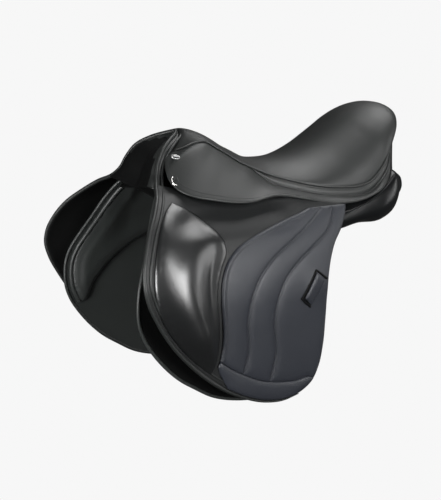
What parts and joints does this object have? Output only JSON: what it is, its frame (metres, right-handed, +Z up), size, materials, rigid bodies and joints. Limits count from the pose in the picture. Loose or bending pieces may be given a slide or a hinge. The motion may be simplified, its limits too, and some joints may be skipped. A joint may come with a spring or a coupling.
{
  "type": "english saddle",
  "caption": "Black leather jumping saddle with padded seat, skirts over the stirrup bars, lifting flaps with knee blocks, girth straps and flocked panels.",
  "frame": {"origin": "on the mid plane where the panels bear on the horse's back, straight below the lowest point of the seat", "axes": "+Z up, -Y towards the pommel and the horse's head, +X towards the near (left) side"},
  "size_m": [0.438, 0.6391, 0.5062],
  "materials": {
    "seat_leather": "satin",
    "calf_leather": "gloss",
    "flap_leather": "satin",
    "lining_leather": "matte",
    "panel_leather": "gloss",
    "beech_laminate": "satin",
    "steel_plate": "brushed",
    "nickel": "polished",
    "webbing": "woven",
    "foam": "matte"
  },
  "bodies": {
    "root": {"tree_head": "beech_laminate", "tree_cantle": "beech_laminate", "head_plate": "steel_plate", "gullet_plate": "steel_plate", "cantle_plate": "steel_plate", "tree_rivets": "steel_plate", "seat_web": "webbing", "girth_webs": "webbing", "seat_foam": "foam", "seat_cover": "seat_leather", "cantle_facing": "calf_leather", "pommel_facing": "seat_leather", "tree_rail_near": "beech_laminate", "tree_spring_near": "steel_plate", "stirrup_bar_near": "nickel", "catch_pin_near": "nickel", "seat_gusset_near": "seat_leather", "skirt_upper_near": "seat_leather", "skirt_tail_near": "seat_leather", "panel_near": "panel_leather", "sweat_flap_near": "lining_leather", "flap_top_near": "flap_leather", "dee_chape_near": "lining_leather", "badge_near": "nickel", "tree_rail_off": "beech_laminate", "tree_spring_off": "steel_plate", "stirrup_bar_off": "nickel", "catch_pin_off": "nickel", "seat_gusset_off": "seat_leather", "skirt_upper_off": "seat_leather", "skirt_tail_off": "seat_leather", "panel_off": "panel_leather", "sweat_flap_off": "lining_leather", "flap_top_off": "flap_leather", "dee_chape_off": "lining_leather", "badge_off": "nickel"},
    "flap_near": {"flap_near": "flap_leather", "flap_overlay_near": "flap_leather", "knee_block_near": "calf_leather", "stirrup_keeper_near": "flap_leather"},
    "skirt_near": {"skirt_near": "seat_leather"},
    "catch_near": {"bar_catch_near": "nickel"},
    "billets_near": {"billet_front_near": "lining_leather", "billet_middle_near": "lining_leather", "billet_rear_near": "lining_leather"},
    "guard_near": {"buckle_guard_near": "lining_leather"},
    "dee_near": {"dee_near": "nickel"},
    "flap_off": {"flap_off": "flap_leather", "flap_overlay_off": "flap_leather", "knee_block_off": "calf_leather", "stirrup_keeper_off": "flap_leather"},
    "skirt_off": {"skirt_off": "seat_leather"},
    "catch_off": {"bar_catch_off": "nickel"},
    "billets_off": {"billet_front_off": "lining_leather", "billet_middle_off": "lining_leather", "billet_rear_off": "lining_leather"},
    "guard_off": {"buckle_guard_off": "lining_leather"},
    "dee_off": {"dee_off": "nickel"}
  },
  "joints": [
    {"name": "flap_lift_near", "type": "hinge", "parent": "root", "child": "flap_near", "pos_m": [0.1287, -0.255, 0.078], "axis": [-0.097, -0.987, 0.1283], "range_deg": [0, 95]},
    {"name": "skirt_lift_near", "type": "hinge", "parent": "root", "child": "skirt_near", "pos_m": [0.092, -0.215, 0.124], "axis": [-0.1187, -0.9642, 0.2373], "range_deg": [0, 100]},
    {"name": "catch_turn_near", "type": "hinge", "parent": "root", "child": "catch_near", "pos_m": [0.089, -0.0875, 0.082], "axis": [-1, 0, 0], "range_deg": [0, 90]},
    {"name": "billet_swing_near", "type": "hinge", "parent": "root", "child": "billets_near", "pos_m": [0.11, -0.064, 0.05], "axis": [1, 0, 0], "range_deg": [-4, 4]},
    {"name": "guard_slide_near", "type": "hinge", "parent": "billets_near", "child": "guard_near", "pos_m": [-0.095, -0.064, -0.09], "axis": [0, 1, 0], "range_deg": [0, 16]},
    {"name": "dee_swing_near", "type": "hinge", "parent": "root", "child": "dee_near", "pos_m": [0.1, -0.234, 0.107], "axis": [-0.7193, 0, 0.6947], "range_deg": [0, 60]},
    {"name": "flap_lift_off", "type": "hinge", "parent": "root", "child": "flap_off", "pos_m": [-0.1287, -0.255, 0.078], "axis": [-0.097, 0.987, -0.1283], "range_deg": [0, 95]},
    {"name": "skirt_lift_off", "type": "hinge", "parent": "root", "child": "skirt_off", "pos_m": [-0.092, -0.215, 0.124], "axis": [-0.1187, 0.9642, -0.2373], "range_deg": [0, 100]},
    {"name": "catch_turn_off", "type": "hinge", "parent": "root", "child": "catch_off", "pos_m": [-0.089, -0.0875, 0.082], "axis": [-1, 0, 0], "range_deg": [0, 90]},
    {"name": "billet_swing_off", "type": "hinge", "parent": "root", "child": "billets_off", "pos_m": [-0.11, -0.064, 0.05], "axis": [1, 0, 0], "range_deg": [-4, 4]},
    {"name": "guard_slide_off", "type": "hinge", "parent": "billets_off", "child": "guard_off", "pos_m": [0.095, -0.064, -0.09], "axis": [0, -1, 0], "range_deg": [0, 16]},
    {"name": "dee_swing_off", "type": "hinge", "parent": "root", "child": "dee_off", "pos_m": [-0.1, -0.234, 0.107], "axis": [-0.7193, 0, -0.6947], "range_deg": [0, 60]}
  ]
}
